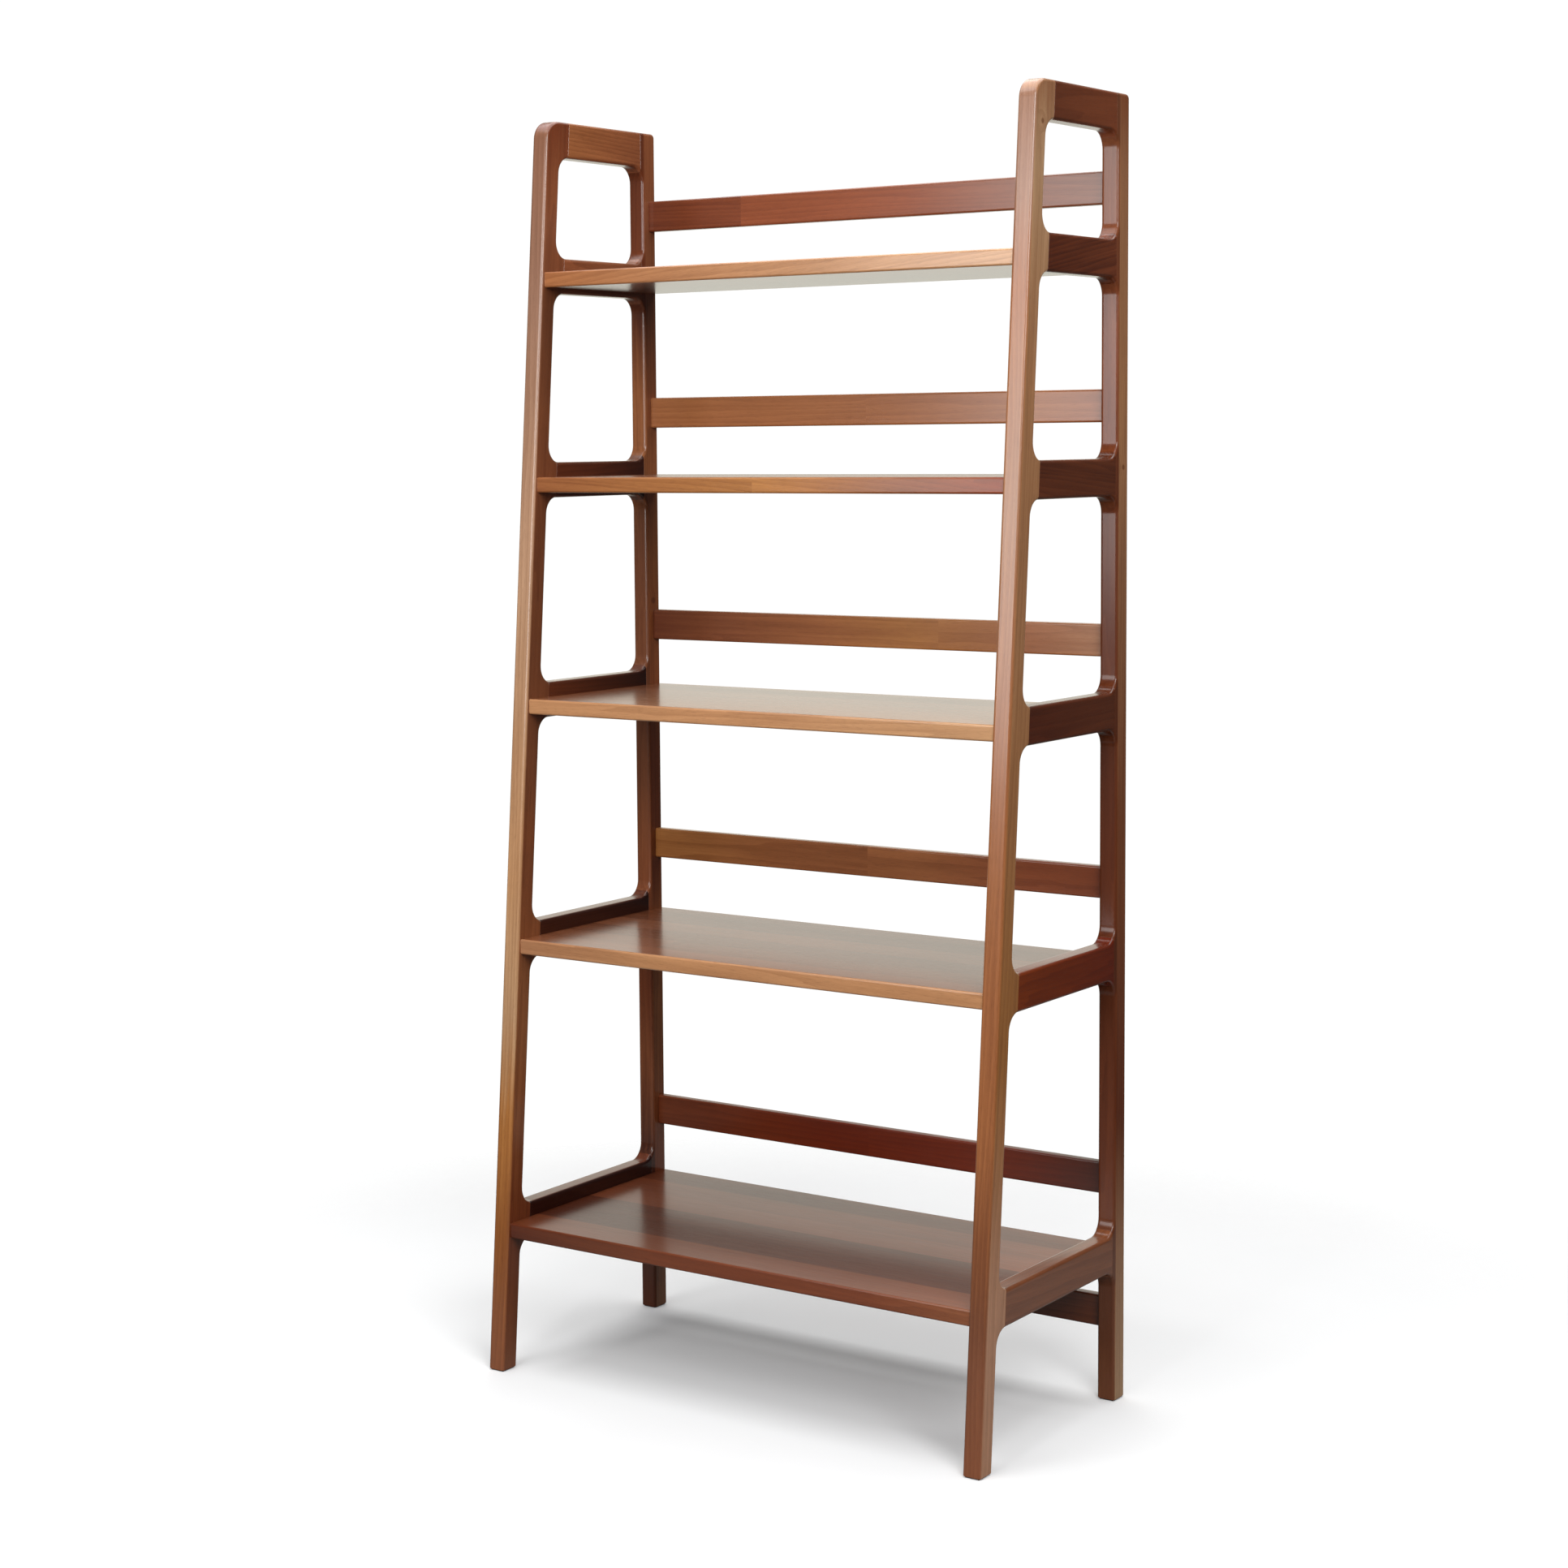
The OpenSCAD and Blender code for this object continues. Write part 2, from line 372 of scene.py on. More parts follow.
def glides():
    """The four thin glides under the feet, in one piece as in the frame."""
    low, high = corners("foot_pads")
    side_gap = low.x - outer_x
    thick = high.z - low.z
    pads = []
    for side in (1, -1):
        for front, leg in ((low.y, FRONT_LEG), (high.y - BACK_LEG + 2 * side_gap, BACK_LEG)):
            xs = sorted((side * low.x, side * (low.x + frame_thick - 2 * side_gap)))
            pad = block("glide", Vector((xs[0], front, low.z)),
                        Vector((xs[1], front + leg - 2 * side_gap, low.z + thick)))
            work_on(pad)
            pick("EDGE", lambda edge: runs_along(edge, 2))
            bevel(GLIDE_ROUND, GLIDE_STEPS)
            pick("EDGE", lambda edge: near(middle(edge).z, low.z))
            bevel(GLIDE_EASE, EASE_STEPS)
            close_up()
            pads.append(pad)
    choose(*pads)
    bpy.ops.object.join()
    return bpy.context.object


# ---------------------------------------------------------------- material tools

def new_material(name):
    """A material with nothing in its node tree yet, and that tree."""
    material = bpy.data.materials.new(name)
    material.use_nodes = True
    material.node_tree.nodes.clear()
    return material, material.node_tree


def add(tree, kind, values=None, **settings):
    """Adds a node. A value is a number, a vector or colour, or another node's output."""
    node = tree.nodes.new(kind)
    for key, value in settings.items():
        setattr(node, key, value)
    for key, value in (values or {}).items():
        if isinstance(value, bpy.types.NodeSocket):
            tree.links.new(value, node.inputs[key])
        else:
            node.inputs[key].default_value = value
    return node


def reckon(tree, operation, *values, clamp=False):
    """A Math node's output."""
    return add(tree, "ShaderNodeMath", dict(enumerate(values)), operation=operation,
               use_clamp=clamp).outputs[0]


def combine(tree, operation, *values):
    """A Vector Math node's vector output."""
    return add(tree, "ShaderNodeVectorMath", dict(enumerate(values)), operation=operation).outputs[0]


def blend_colour(tree, factor, a, b, kind="MIX"):
    values = {0: factor, 6: a, 7: b}
    return add(tree, "ShaderNodeMix", values, data_type="RGBA", blend_type=kind).outputs[2]


def noise(tree, place, scale, detail=2.0, roughness=0.5):
    values = {"Vector": place, "Scale": scale, "Detail": detail, "Roughness": roughness}
    return add(tree, "ShaderNodeTexNoise", values)


def spread(tree, value, low, high, to_low=0.0, to_high=1.0, smooth_ends=False):
    """Maps a range to another range, and holds the ends."""
    values = {"Value": value, "From Min": low, "From Max": high, "To Min": to_low, "To Max": to_high}
    kind = "SMOOTHSTEP" if smooth_ends else "LINEAR"
    return add(tree, "ShaderNodeMapRange", values, interpolation_type=kind).outputs[0]


def linear(colour):
    """A colour in plain 0 to 255 steps, as light."""
    parts = [c / 255 for c in colour]
    return [c / 12.92 if c <= 0.04045 else ((c + 0.055) / 1.055) ** 2.4 for c in parts] + [1.0]


# ---------------------------------------------------------------- walnut

# Each seed takes its board from another place in one endless log.
SEED_STEP = (1.37, 0.31, 0.173)

# Growth rings: how far they are drawn out along the grain, where their pith is, and the spacing of
# the rings in a ring texture of scale 1.
RING_STRETCH = 0.055
PITH = (0.0, 0.055, -0.08)
RING_SPACING = 0.314
WIDE_WAVER = (0.0, 0.06, 0.06)
FINE_WAVER = (0.0, 0.009, 0.009)

# Other figure: how far it is drawn out along the grain, then its scale, detail and roughness.
STREAKS = (0.02, 210.0, 4.0, 0.62)
CLOUDS = (0.10, 42.0, 4.0, 0.6)
FIBRES = (0.014, 1100.0, 2.0, 0.6)
PORES = (0.035, 2100.0, 1.0, 0.5)

# How much each kind of figure counts in the tone of the wood.
RING_WEIGHT = 0.14
STREAK_WEIGHT = 0.30
CLOUD_WEIGHT = 0.42
FIBRE_WEIGHT = 0.14
KNOT_WEIGHT = -0.9
PORE_WEIGHT = 0.26

# The figure multiplies the board's shade, from its darkest to its lightest.
FIGURE_DARK = (0.58, 0.48, 0.40, 1.0)
FIGURE_LIGHT = (1.42, 1.52, 1.60, 1.0)
PORE_COLOUR = (0.02, 0.008, 0.004, 1.0)

# Staves and blocks: their width and length, a length beyond any board's for those that are whole,
# and how the joints and the wood differ from one to the next.
STAVE_WIDTH = 0.063
FINGER_BLOCK = 0.5
WHOLE = 9.0
ROW_SLIDE = 0.437
SEED_SLIDE = 0.291
JOINT_COUNT = 40.0
CELL_STEP = (2.0, 0.11, 0.08)

# The painted light and shade on one face keeps its full tone this deep, and is gone at the depth of the
# rounded edges.
PAINTED_FACE_DEPTH = 0.0012


def grain_turn(axis, twist=0.0, runout=0.0, slope=0.0):
    """How the grain lies: along the given axis, tilted off it, and with the rings twisted round it."""
    base = {
        "X": Matrix.Identity(3),
        "Y": Matrix.Rotation(math.pi / 2, 3, "Z"),
        "Z": Matrix.Rotation(-math.pi / 2, 3, "Y"),
        "leaning": Matrix.Rotation(-lean_angle, 3, "X") @ Matrix.Rotation(-math.pi / 2, 3, "Y"),
    }[axis]
    tilt = Matrix.Rotation(math.radians(slope), 3, "Y") @ Matrix.Rotation(math.radians(runout), 3, "Z")
    return (base @ tilt @ Matrix.Rotation(math.radians(twist), 3, "X")).to_euler()


def laid(tree, place, centre, turn):
    """Places from a board's centre, in axes turned with its grain."""
    values = {"Vector": place, "Location": centre, "Rotation": turn}
    return add(tree, "ShaderNodeMapping", values, vector_type="TEXTURE").outputs[0]


def figure(tree, wood, stretch, scale, detail, roughness):
    """Noise that is drawn out along the grain."""
    drawn = combine(tree, "MULTIPLY", wood, (stretch, 1.0, 1.0))
    return noise(tree, drawn, scale, detail, roughness).outputs["Fac"]


def glued(tree, along, wood, seed, staves, block_length, joint_at):
    """Glued staves and finger-jointed blocks: gives the wood in each, and each one's own tone."""
    row = 0.0
    if staves:
        row = reckon(tree, "FLOOR", reckon(tree, "DIVIDE", along.outputs[1], staves))
    slide = reckon(tree, "MULTIPLY", row, ROW_SLIDE)
    reach = reckon(tree, "ADD", reckon(tree, "DIVIDE", along.outputs[0], block_length), slide)
    start = seed * SEED_SLIDE if joint_at is None else JOINT_COUNT - joint_at / block_length
    column = reckon(tree, "FLOOR", reckon(tree, "ADD", reach, start))
    cell = add(tree, "ShaderNodeCombineXYZ", {0: row, 1: column, 2: float(seed)}).outputs[0]
    dice = add(tree, "ShaderNodeTexWhiteNoise", {"Vector": cell}, noise_dimensions="3D")
    wood = combine(tree, "MULTIPLY_ADD", dice.outputs["Color"], CELL_STEP, wood)
    return wood, dice.outputs["Value"]


def knotted(tree, place, wood, knots):
    """Knots push the grain aside: gives the wood with them, and how near their dark hearts are."""
    dark = 0.0
    for where, radius in knots:
        gap = combine(tree, "SUBTRACT", place, where)
        far = add(tree, "ShaderNodeVectorMath", {0: gap}, operation="LENGTH").outputs["Value"]
        heart = spread(tree, far, radius * 0.2, radius * 1.3, 1.0, 0.0, smooth_ends=True)
        round_it = spread(tree, far, radius, radius * 5.0, 1.0, 0.0, smooth_ends=True)
        push = add(tree, "ShaderNodeCombineXYZ", {1: reckon(tree, "MULTIPLY", round_it, 0.004),
                                                  2: reckon(tree, "MULTIPLY", round_it, 0.003)}).outputs[0]
        wood = combine(tree, "ADD", wood, push)
        dark = reckon(tree, "MAXIMUM", dark, heart)
    return wood, dark


def growth_rings(tree, wood, ring):
    """Growth rings round a pith outside the board, wavering along the grain."""
    half = (0.5, 0.5, 0.5)
    flow = combine(tree, "MULTIPLY", wood, (RING_STRETCH, 1.0, 1.0))
    wide = combine(tree, "SUBTRACT", noise(tree, flow, 11.0, 3.0, 0.55).outputs["Color"], half)
    fine = combine(tree, "SUBTRACT", noise(tree, flow, 55.0, 2.0, 0.5).outputs["Color"], half)
    flow = combine(tree, "MULTIPLY_ADD", wide, WIDE_WAVER, flow)
    flow = combine(tree, "MULTIPLY_ADD", fine, FINE_WAVER, flow)
    values = {"Vector": combine(tree, "ADD", flow, PITH), "Scale": RING_SPACING / ring,
              "Distortion": 1.2, "Detail": 2.0, "Detail Scale": 1.4}
    rings = add(tree, "ShaderNodeTexWave", values,
                wave_type="RINGS", rings_direction="X", wave_profile="SAW").outputs["Fac"]
    return spread(tree, rings, 0.0, 1.0, smooth_ends=True)


def tone_run(tree, step, tones):
    """A run of tones along a board, each at its place from 0 to 1."""
    ramp = add(tree, "ShaderNodeValToRGB", {0: step})
    stops = ramp.color_ramp.elements
    while len(stops) < len(tones):
        stops.new(0.5)
    for stop, (at, tone) in zip(stops, tones.items()):
        stop.position = at
        stop.color = linear(TONES[tone])
    return ramp.outputs["Color"]


def walnut(node, axis, centre, length, tones, seed, ring, contrast, twist, runout, slope=0.0,
           staves=0.0, block_length=WHOLE, joint_at=None, knots=(), cell_contrast=0.34,
           painted_light_and_shade_tones=None, painted_face_at=0.0):
    """Lacquered walnut. The tones run along the board, from one end to the other.
    The second run of tones is painted light and shade on one face, which lies at the given place across the
    board: that face is painted lighter where light falls full on it and darker where shade falls."""
    material, tree = new_material(f"walnut {node}")
    place = add(tree, "ShaderNodeTexCoord").outputs["Object"]
    along = add(tree, "ShaderNodeSeparateXYZ", {0: laid(tree, place, centre, grain_turn(axis))})
    wood = laid(tree, place, centre, grain_turn(axis, twist, runout, slope))
    wood = combine(tree, "ADD", wood, [seed * step for step in SEED_STEP])
    cell_tone = 0.5
    if staves or block_length < WHOLE:
        wood, cell_tone = glued(tree, along, wood, seed, staves, block_length, joint_at)
    wood, knot_dark = knotted(tree, place, wood, knots)

    rings = growth_rings(tree, wood, ring)
    streaks = figure(tree, wood, *STREAKS)
    clouds = figure(tree, wood, *CLOUDS)
    fibres = figure(tree, wood, *FIBRES)
    pores = spread(tree, figure(tree, wood, *PORES), 0.56, 0.74)

    tone = reckon(tree, "MULTIPLY", rings, RING_WEIGHT)
    tone = reckon(tree, "MULTIPLY_ADD", streaks, STREAK_WEIGHT, tone)
    tone = reckon(tree, "MULTIPLY_ADD", clouds, CLOUD_WEIGHT, tone)
    tone = reckon(tree, "MULTIPLY_ADD", fibres, FIBRE_WEIGHT, tone)
    tone = reckon(tree, "MULTIPLY_ADD", reckon(tree, "SUBTRACT", cell_tone, 0.5), cell_contrast, tone)
    tone = reckon(tree, "MULTIPLY_ADD", reckon(tree, "SUBTRACT", tone, 0.5), contrast, 0.5)
    tone = reckon(tree, "MULTIPLY_ADD", knot_dark, KNOT_WEIGHT, tone, clamp=True)

    # The board's own shades, with streaky borders between them.
    step = reckon(tree, "MULTIPLY_ADD", reckon(tree, "SUBTRACT", streaks, 0.5), 0.10,
                  reckon(tree, "DIVIDE", along.outputs[0], length))
    step = reckon(tree, "ADD", step, 0.5, clamp=True)
    shade = tone_run(tree, step, tones)
    # Painted light and shade: one face takes its own run of tones, blended in over the depth of the rounded
    # edge.
    if painted_light_and_shade_tones:
        past_painted_face = spread(tree, along.outputs[1], painted_face_at + PAINTED_FACE_DEPTH, painted_face_at + FRAME_ROUND, smooth_ends=True)
        shade = blend_colour(tree, past_painted_face, tone_run(tree, step, painted_light_and_shade_tones), shade)
    colour = blend_colour(tree, tone, FIGURE_DARK, FIGURE_LIGHT)
    colour = blend_colour(tree, 1.0, shade, colour, "MULTIPLY")
    colour = blend_colour(tree, reckon(tree, "MULTIPLY", pores, PORE_WEIGHT), colour, PORE_COLOUR)

    # Pores and fibres still show faintly through the lacquer.
    relief = reckon(tree, "MULTIPLY_ADD", pores, -0.7, fibres)
    bump = add(tree, "ShaderNodeBump", {"Strength": 0.16, "Distance": 0.0006, "Height": relief}).outputs[0]
    gloss = spread(tree, fibres, 0.3, 0.7, 0.42, 0.55)
    coat = {"Coat Weight": THIN_LACQUER.get(node, 1.0), "Coat Roughness": 0.2, "Coat IOR": 1.5}
    shader = add(tree, "ShaderNodeBsdfPrincipled",
                 {"Base Color": colour, "Roughness": gloss, "Normal": bump, "IOR": 1.5,
                  "Specular IOR Level": 0.12, **coat})
    add(tree, "ShaderNodeOutputMaterial", {"Surface": shader.outputs[0]})
    return material


def beech():
    """Bare beech, for the dowels."""
    material, tree = new_material("beech")
    place = add(tree, "ShaderNodeTexCoord").outputs["Object"]
    flecks = noise(tree, place, 900.0, 2.0).outputs["Fac"]
    colour = blend_colour(tree, flecks, (0.50, 0.34, 0.20, 1.0), (0.70, 0.52, 0.34, 1.0))
    bump = add(tree, "ShaderNodeBump", {"Strength": 0.2, "Distance": 0.0003, "Height": flecks}).outputs[0]
    shader = add(tree, "ShaderNodeBsdfPrincipled",
                 {"Base Color": colour, "Roughness": 0.65, "Normal": bump})
    add(tree, "ShaderNodeOutputMaterial", {"Surface": shader.outputs[0]})
    return material


def glide_nylon():
    """Dark matt nylon with a faint moulded grain."""
    material, tree = new_material("glide nylon")
    place = add(tree, "ShaderNodeTexCoord").outputs["Object"]
    grain = noise(tree, place, 2500.0, 2.0).outputs["Fac"]
    colour = blend_colour(tree, grain, (0.022, 0.018, 0.015, 1.0), (0.042, 0.034, 0.028, 1.0))
    bump = add(tree, "ShaderNodeBump", {"Strength": 0.3, "Distance": 0.0002, "Height": grain}).outputs[0]
    shader = add(tree, "ShaderNodeBsdfPrincipled",
                 {"Base Color": colour, "Roughness": spread(tree, grain, 0.2, 0.8, 0.5, 0.7), "Normal": bump})
    add(tree, "ShaderNodeOutputMaterial", {"Surface": shader.outputs[0]})
    return material


# ---------------------------------------------------------------- shades of each piece

# Tones of walnut, roughly from dark to light, in plain 0 to 255 steps.
TONES = {
    # black serves only as painted shade, on the inner faces of the left frame's lower rails.
    "black": (38, 8, 2),
    "bog": (56, 20, 8),
    "dark": (82, 32, 9),
    "heart": (92, 42, 18),
    "umber": (98, 47, 23),
    "red": (104, 32, 5),
    "rust": (124, 48, 5),
    "chestnut": (108, 51, 25),
    "russet": (120, 60, 31),
    "brown": (113, 65, 39),
    "dusk": (124, 82, 60),
    "nut": (127, 72, 42),
    "amber": (132, 76, 34),
    "hazel": (148, 90, 51),
    "dun": (151, 103, 70),
    # mauve is a painted reflection, the pale sheen near the tops of the front legs' front faces.
    "mauve": (144, 105, 84),
    "honey": (164, 107, 55),
    "tan": (168, 118, 79),
    "sand": (176, 130, 90),
    "ash": (174, 134, 103),
    "straw": (182, 142, 105),
    "peach": (190, 136, 102),
}

# How each board's tone runs: places along it, from 0 to 1, with the tone there.
# Legs run from the foot up, shelves and back rails from left to right.
LEG_TONES = {
    "left_front_leg": {0.0: "nut", 0.11: "chestnut", 0.27: "hazel", 0.4: "nut", 0.6: "brown", 0.7: "nut",
                       0.85: "brown", 0.94: "nut", 1.0: "chestnut"},
    "right_front_leg": {0.0: "peach", 0.12: "peach", 0.3: "honey", 0.6: "tan", 0.8: "tan", 0.94: "straw",
                        1.0: "dun"},
    "left_back_leg": {0.0: "hazel", 0.12: "chestnut", 0.27: "hazel", 0.38: "heart", 0.5: "russet",
                      0.66: "hazel", 0.78: "nut", 0.85: "brown", 1.0: "nut"},
    "right_back_leg": {0.0: "straw", 0.12: "dun", 0.22: "chestnut", 0.45: "nut", 0.65: "dun",
                       0.78: "tan", 0.95: "dun", 1.0: "nut"},
}
# Painted light and shade on each leg's front face: tones of its own that set how lit that face looks, lighter
# on the left front leg and darker on the others. The pale mauve near the front legs' tops is a painted
# reflection.
LEG_PAINTED_LIGHT_AND_SHADE_TONES = {
    "left_front_leg": {0.0: "nut", 0.1: "amber", 0.2: "honey", 0.28: "straw", 0.4: "sand", 0.62: "ash",
                       0.85: "mauve", 1.0: "dusk"},
    "right_front_leg": {0.0: "nut", 0.11: "brown", 0.25: "hazel", 0.5: "hazel", 0.7: "dun", 0.85: "hazel",
                        0.93: "mauve", 1.0: "mauve"},
    "left_back_leg": {0.0: "heart", 0.12: "bog", 0.22: "nut", 0.28: "russet", 0.4: "nut", 0.46: "brown",
                      0.65: "brown", 0.78: "hazel", 0.85: "umber", 1.0: "heart"},
    "right_back_leg": {0.0: "brown", 0.2: "umber", 0.45: "heart", 0.65: "umber", 0.8: "russet",
                       1.0: "brown"},
}
# The side frames' rails run from front to back, the top rail first.
RAIL_TONES = {
    "left": [("hazel", "nut"), ("hazel", "nut"), ("chestnut", "brown"), ("brown", "umber"),
             ("chestnut", "umber"), ("umber", "chestnut")],
    "right": [("umber", "russet"), ("dark", "chestnut"), ("heart", "heart"), ("dark", "heart"),
              ("rust", "red"), ("nut", "nut")],
}
# Painted shade on the inner faces of the left frame's rails, darker towards the bottom, down to black on the
# lowest rails.
LEFT_RAIL_PAINTED_SHADE_TONES = [("hazel", "nut"), ("nut", "brown"), ("heart", "bog"), ("heart", "black"),
                        ("bog", "black"), ("black", "black")]
SHELF_TONES = {
    1: {0.0: "nut", 0.5: "amber", 1.0: "hazel"},
    2: {0.0: "nut", 0.5: "amber", 1.0: "nut"},
    3: {0.0: "nut", 0.3: "dun", 1.0: "dun"},
    4: {0.0: "nut", 0.5: "nut", 1.0: "brown"},
    5: {0.0: "umber", 0.3: "umber", 0.7: "chestnut", 1.0: "russet"},
}
# Painted light on the shelves' front edges: tones of their own, mostly lighter than the tops, for the light
# and sheen that the front edges catch.
SHELF_EDGE_PAINTED_LIGHT_TONES = {
    1: {0.0: "hazel", 0.5: "tan", 1.0: "sand"},
    2: {0.0: "hazel", 0.5: "honey", 0.8: "nut", 1.0: "rust"},
    3: {0.0: "tan", 0.5: "tan", 1.0: "sand"},
    4: {0.0: "dun", 0.3: "tan", 1.0: "tan"},
    5: {0.0: "dark", 0.2: "umber", 0.5: "chestnut", 0.8: "chestnut", 1.0: "nut"},
}
BACK_RAIL_TONES = {
    1: {0.0: "chestnut", 0.3: "russet", 0.6: "russet", 1.0: "brown"},
    2: {0.0: "hazel", 0.4: "hazel", 0.65: "hazel", 0.85: "hazel", 1.0: "nut"},
    3: {0.0: "umber", 0.2: "nut", 0.4: "hazel", 0.6: "honey", 0.85: "hazel", 1.0: "dun"},
    4: {0.0: "honey", 0.3: "hazel", 0.6: "hazel", 0.85: "russet", 1.0: "chestnut"},
    5: {0.0: "chestnut", 0.4: "red", 0.7: "red", 1.0: "bog"},
    6: {0.0: "brown", 0.3: "dun", 0.6: "dun", 0.85: "umber", 1.0: "umber"},
}

# How the grain lies in some boards, in degrees from the board's length: up or down, then sideways.
RAIL_SLOPE = {"left": [2, 1, -2, 3, 1, -1], "right": [-3, -9, 4, -3, 3, 4]}
SHELF_SLOPE = {1: -7, 2: 3, 3: -3, 4: 2, 5: 1}
# Lacquer lies thinner on some boards, so they mirror less.
THIN_LACQUER = {"right_back_leg": 0.72, "shelf_2": 0.8, "shelf_5": 0.88, "back_rail_5": 0.68}
# Where a finger joint is along some back rails, in metres from their middle.
FINGER_JOINT = {1: -0.215, 3: 0.12}
# Boards whose figure, or whose staves, stand out more or less than in the others.
RAIL_CONTRAST = {"right_shelf_rail_1": 3.0, "right_shelf_rail_2": 2.4, "right_top_rail": 1.3}
STAVE_CONTRAST = {5: 0.75, 4: 0.45}
# Each knot's middle and its radius.
LEG_KNOTS = {
    "right_front_leg": [((-outer_x, front_y(1.745) + 0.02, 1.745), 0.004)],
    "left_back_leg": [((inner_x, back_y - 0.017, 1.1), 0.005)],
    "right_back_leg": [((-outer_x, back_y - 0.015, 1.3), 0.004)],
}


def leg_walnut(node, seed):
    low, high = corners(node)
    centre = (low + high) / 2
    # Each leg's front face takes the painted light and shade.
    if "front" in node:
        axis = "leaning"
        painted_face_at = (front_y(centre.z) - centre.y) * math.cos(lean_angle)
    else:
        axis = "Z"
        painted_face_at = back_y - BACK_LEG - centre.y
    return walnut(node, axis, centre, high.z - low.z, LEG_TONES[node], seed, ring=0.006,
                  contrast=1.35, twist=25 * seed, runout=0.6, knots=LEG_KNOTS.get(node, ()),
                  painted_light_and_shade_tones=LEG_PAINTED_LIGHT_AND_SHADE_TONES[node], painted_face_at=painted_face_at)


def rail_walnut(node, side, i, seed):
    low, high = corners(node)
    front, rear = RAIL_TONES[side][i]
    painted_light_and_shade_tones = None
    # The left frame's rails get painted shade on their inner faces.
    if side == "left":
        painted_light_and_shade_tones = dict(zip((0.0, 1.0), LEFT_RAIL_PAINTED_SHADE_TONES[i]))
    return walnut(node, "Y", (low + high) / 2, high.y - low.y, {0.0: front, 1.0: rear}, seed,
                  ring=0.007, contrast=RAIL_CONTRAST.get(node, 1.7), twist=40 * seed, runout=2.0,
                  slope=RAIL_SLOPE[side][i], painted_light_and_shade_tones=painted_light_and_shade_tones, painted_face_at=-frame_thick / 2)


def shelf_walnut(node, i, seed):
    low, high = corners(node)
    centre = (low + high) / 2
    # The front edge takes the painted light.
    return walnut(node, "X", centre, high.x - low.x, SHELF_TONES[i], seed, ring=0.006, contrast=1.4,
                  twist=15 * seed, runout=0.8, slope=SHELF_SLOPE[i], staves=STAVE_WIDTH,
                  cell_contrast=STAVE_CONTRAST.get(i, 0.36), painted_light_and_shade_tones=SHELF_EDGE_PAINTED_LIGHT_TONES[i],
                  painted_face_at=low.y - centre.y)


def back_rail_walnut(node, i, seed):
    low, high = corners(node)
    centre = (low + high) / 2
    return walnut(node, "X", centre, high.x - low.x, BACK_RAIL_TONES[i], seed, ring=0.006,
                  contrast=1.4, twist=20 * seed, runout=0.7, block_length=FINGER_BLOCK,
                  joint_at=FINGER_JOINT.get(i, FINGER_BLOCK))


# ---------------------------------------------------------------- floor, light and camera

# The floor starts to fade at one radius and ends at another. It bounces less light than it shows.
FLOOR_FADE = 1.0
FLOOR_END = 1.7
FLOOR_DIM = (0.80, 0.803, 0.807, 1.0)
FLOOR_BRIGHT = (0.83, 0.833, 0.837, 1.0)
FLOOR_BOUNCE = (0.25, 0.245, 0.235, 1.0)
FLOOR_GLOW = (0.12, 0.123, 0.127, 1.0)

# The room: the way to its white wall, and the wall's borders, across and upwards.
WALL_WAY = (-0.58, 0.815, 0.0)
WALL_ACROSS = (0.62, 0.92)
WALL_UP = (0.16, 0.45)
WALL_TOP_GLOW = 0.45
WALL_WHITE = (1.0, 0.985, 0.87, 1.0)
ROOM_DARK = (0.045, 0.045, 0.045, 1.0)
BACKGROUND = (1.05, 1.05, 1.05, 1.0)

# Each soft light's place and the point it aims at, then its width, height and watts.
LIGHTS = {
    "key": ((-0.65, -2.9, 1.72), (0.0, 0.0, 1.6), 1.7, 1.45, 44),
    "strip": ((0.45, -3.3, 1.85), (0.3, 0.0, 1.5), 0.45, 1.5, 20),
    "fill": ((2.6, -2.2, 2.6), (0.0, 0.0, 0.9), 1.6, 1.6, 80),
    "overhead": ((0.0, 0.2, 3.6), (0.0, 0.2, 0.0), 4.0, 4.0, 150),
}

# The camera's place, its turns in degrees, and its lens and sensor in millimetres.
CAMERA_PLACE = (2.232, -3.374, 1.343)
CAMERA_YAW = 35.39
CAMERA_PITCH = -5.41
CAMERA_ROLL = -0.54
CAMERA_LENS = 66.7
CAMERA_SENSOR = 36
CAMERA_SHIFT = (0.0532, -0.0443)


def pale_floor():
    """A round pale floor that fades out into the white of the room."""
    bpy.ops.object.select_all(action="DESELECT")
    bpy.ops.mesh.primitive_circle_add(vertices=96, radius=FLOOR_END, fill_type="NGON", location=(0, 0, 0))
    floor = bpy.context.object
    floor.name = "floor"
    material, tree = new_material("pale floor")
    place = add(tree, "ShaderNodeTexCoord").outputs["Object"]
    clouds = noise(tree, place, 3.0, 2.0).outputs["Fac"]
    colour = blend_colour(tree, clouds, FLOOR_DIM, FLOOR_BRIGHT)
    seen = add(tree, "ShaderNodeLightPath").outputs["Is Camera Ray"]
    colour = blend_colour(tree, seen, FLOOR_BOUNCE, colour)
    shader = add(tree, "ShaderNodeBsdfPrincipled",
                 {"Base Color": colour, "Roughness": 0.8, "Specular IOR Level": 0.1,
                  "Emission Color": FLOOR_GLOW, "Emission Strength": seen}).outputs[0]
    far = add(tree, "ShaderNodeVectorMath", {0: place}, operation="LENGTH").outputs["Value"]
    fade = spread(tree, far, FLOOR_FADE, FLOOR_END, smooth_ends=True)
    clear = add(tree, "ShaderNodeBsdfTransparent").outputs[0]
    mix = add(tree, "ShaderNodeMixShader", {0: fade, 1: shader, 2: clear}).outputs[0]
    add(tree, "ShaderNodeOutputMaterial", {"Surface": mix})
    floor.data.materials.append(material)


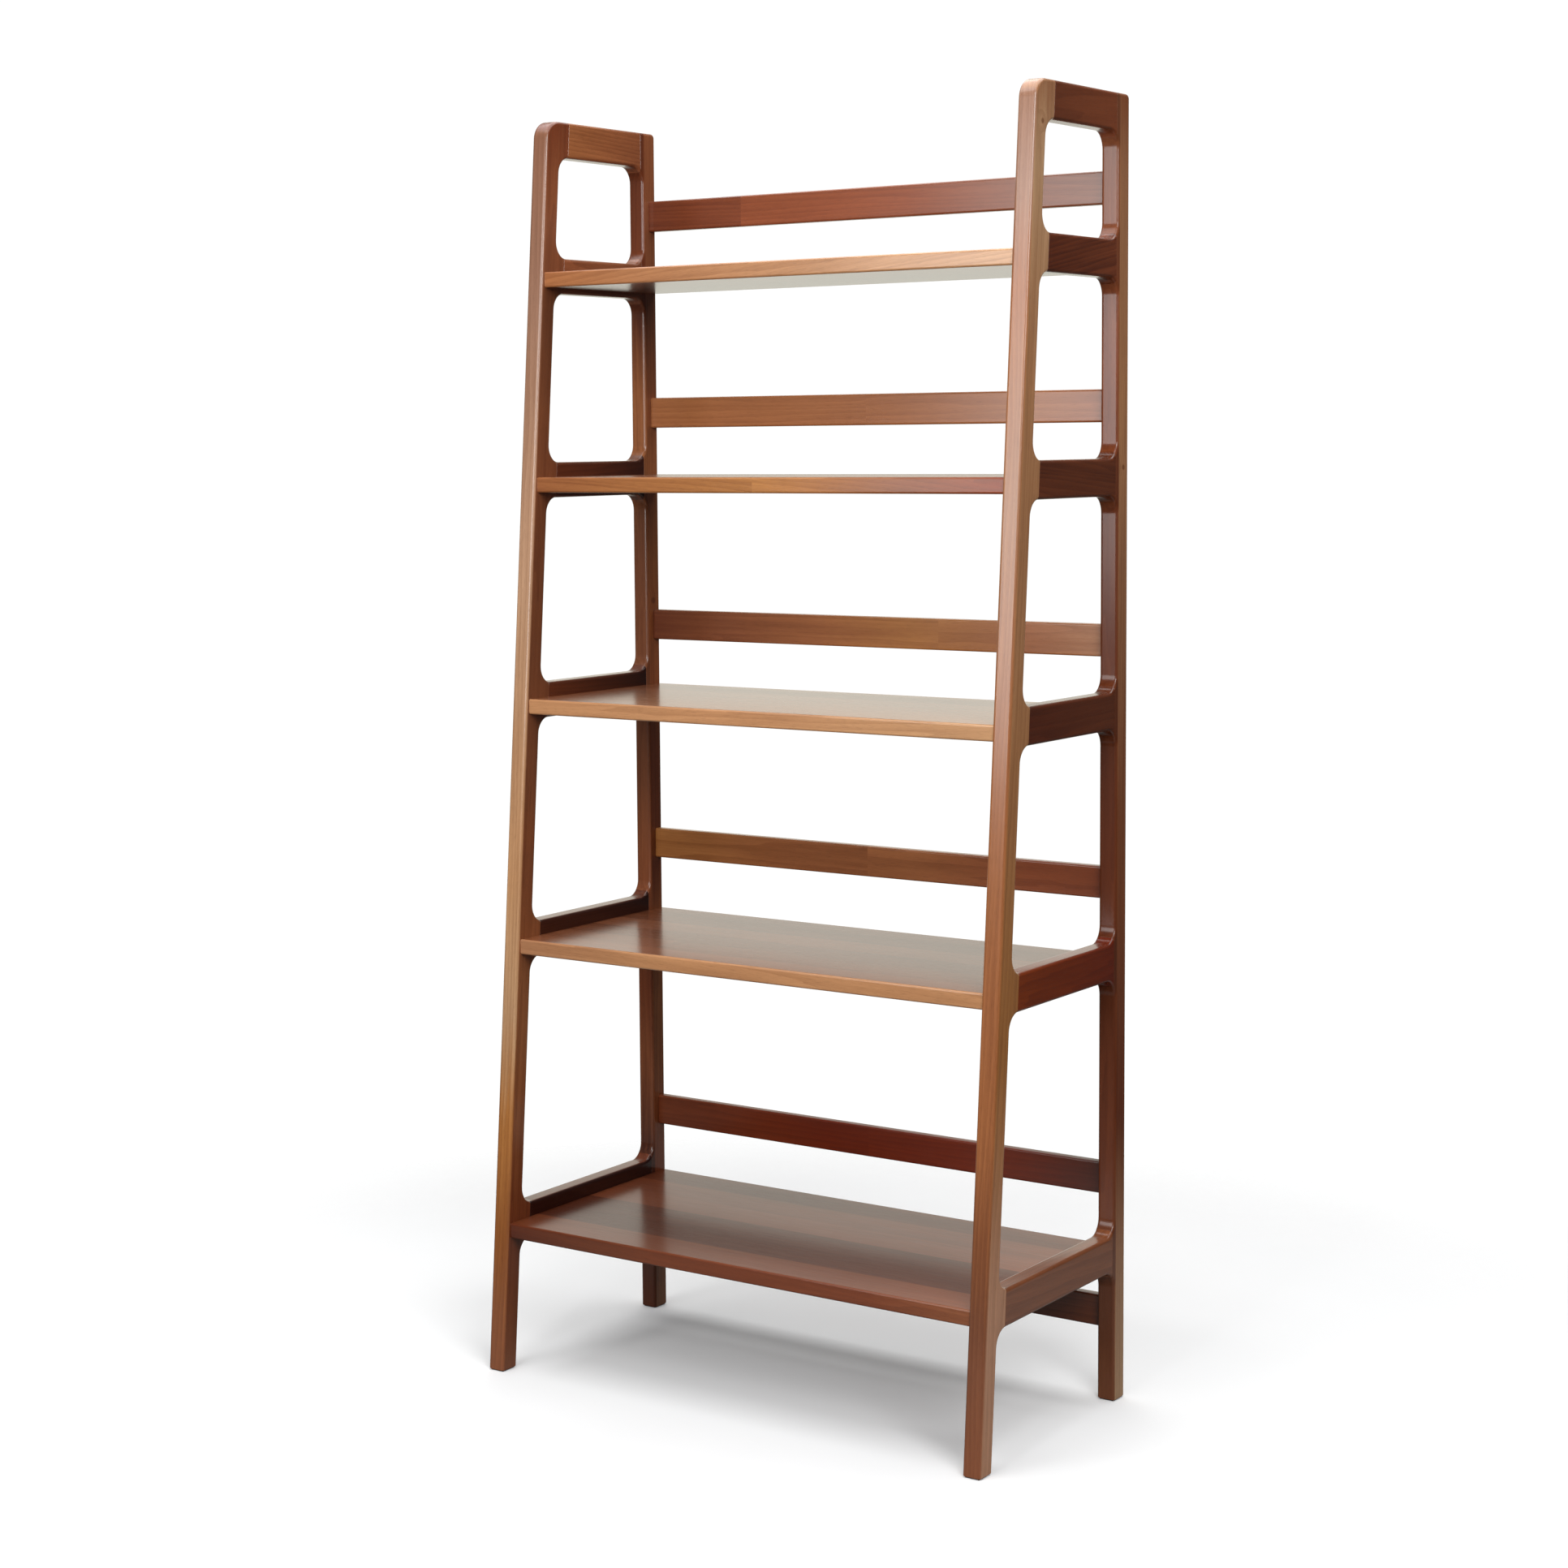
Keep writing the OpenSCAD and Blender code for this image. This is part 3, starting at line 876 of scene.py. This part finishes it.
def studio_surround():
    """A dim room with one white wall at the back left. The background itself is plain white."""
    world = bpy.data.worlds.new("studio")
    bpy.context.scene.world = world
    world.use_nodes = True
    tree = world.node_tree
    tree.nodes.clear()
    way = add(tree, "ShaderNodeTexCoord").outputs["Generated"]
    towards_wall = add(tree, "ShaderNodeVectorMath", {0: way, 1: WALL_WAY},
                       operation="DOT_PRODUCT").outputs["Value"]
    height = reckon(tree, "ABSOLUTE", add(tree, "ShaderNodeSeparateXYZ", {0: way}).outputs[2])
    wall = reckon(tree, "MULTIPLY", spread(tree, towards_wall, *WALL_ACROSS, smooth_ends=True),
                  spread(tree, height, *WALL_UP, 1.0, WALL_TOP_GLOW))
    glow = blend_colour(tree, wall, ROOM_DARK, WALL_WHITE)
    seen = add(tree, "ShaderNodeLightPath").outputs["Is Camera Ray"]
    colour = blend_colour(tree, seen, glow, BACKGROUND)
    sky = add(tree, "ShaderNodeBackground", {"Color": colour, "Strength": 1.0})
    add(tree, "ShaderNodeOutputWorld", {"Surface": sky.outputs[0]})


def soft_light(name, place, aim, width, height, watts):
    data = bpy.data.lights.new(name, "AREA")
    data.shape = "RECTANGLE"
    data.size = width
    data.size_y = height
    data.energy = watts
    lamp = bpy.data.objects.new(name, data)
    bpy.context.scene.collection.objects.link(lamp)
    lamp.location = place
    lamp.rotation_euler = (Vector(aim) - Vector(place)).to_track_quat("-Z", "Y").to_euler()


def camera():
    data = bpy.data.cameras.new("camera")
    data.sensor_width = CAMERA_SENSOR
    data.lens = CAMERA_LENS
    data.shift_x, data.shift_y = CAMERA_SHIFT
    eye = bpy.data.objects.new("camera", data)
    bpy.context.scene.collection.objects.link(eye)
    eye.matrix_world = (
        Matrix.Translation(CAMERA_PLACE)
        @ Matrix.Rotation(math.radians(CAMERA_YAW), 4, "Z")
        @ Matrix.Rotation(math.radians(90 + CAMERA_PITCH), 4, "X")
        @ Matrix.Rotation(math.radians(CAMERA_ROLL), 4, "Z")
    )
    bpy.context.scene.camera = eye


# ---------------------------------------------------------------- building

def finish_piece(obj, node, material):
    """Names a piece after its node, paints it and sets it in the frame."""
    obj.name = f"{node}_piece"
    obj.data.name = obj.name
    obj.data.materials.clear()
    obj.data.materials.append(material)
    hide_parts(node)
    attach(obj, "root")


# Each board's seed counts on from its kind's first.
LEG_SEEDS = {"front_leg": 3, "back_leg": 5}
FIRST_RAIL_SEED = {"left": 11, "right": 18}
FIRST_SHELF_SEED = 30
FIRST_BACK_RAIL_SEED = 40


def build_side_frames():
    """The left frame's parts, and the right frame's, mirrored before either is painted."""
    parts = sorted(part_frame(frame_slab()).items())
    frames = {"left": parts, "right": [(part, mirrored(obj)) for part, obj in parts]}
    for side_number, side in enumerate(SIDES):
        for part, piece in frames[side]:
            node = f"{side}_{part}"
            if part in LEG_SEEDS:
                finish_piece(piece, node, leg_walnut(node, LEG_SEEDS[part] + side_number))
            else:
                i = 0 if part == "top_rail" else int(part[-1])
                wood = rail_walnut(node, side, i, FIRST_RAIL_SEED[side] + i)
                finish_piece(piece, node, wood)
            smooth(piece)


def build_boards():
    for i in SHELVES:
        node = f"shelf_{i}"
        piece = cross_board(node)
        finish_piece(piece, node, shelf_walnut(node, i, FIRST_SHELF_SEED + i))
        smooth(piece)
    for i in BACK_RAILS:
        node = f"back_rail_{i}"
        piece = cross_board(node)
        wood = back_rail_walnut(node, i, FIRST_BACK_RAIL_SEED + i)
        finish_piece(piece, node, wood)
        smooth(piece)


def build_small_parts():
    pads = glides()
    finish_piece(pads, "foot_pads", glide_nylon())
    smooth(pads)
    dowel_wood = beech()
    for node in ("left_frame_dowels", "right_frame_dowels", "shelf_dowels", "back_rail_dowels"):
        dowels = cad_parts[node]
        dowels.data.materials.clear()
        dowels.data.materials.append(dowel_wood)


camera()
studio_surround()
for name, light in LIGHTS.items():
    soft_light(name, *light)
pale_floor()
build_side_frames()
build_boards()
build_small_parts()
bpy.context.scene.view_settings.view_transform = "Standard"
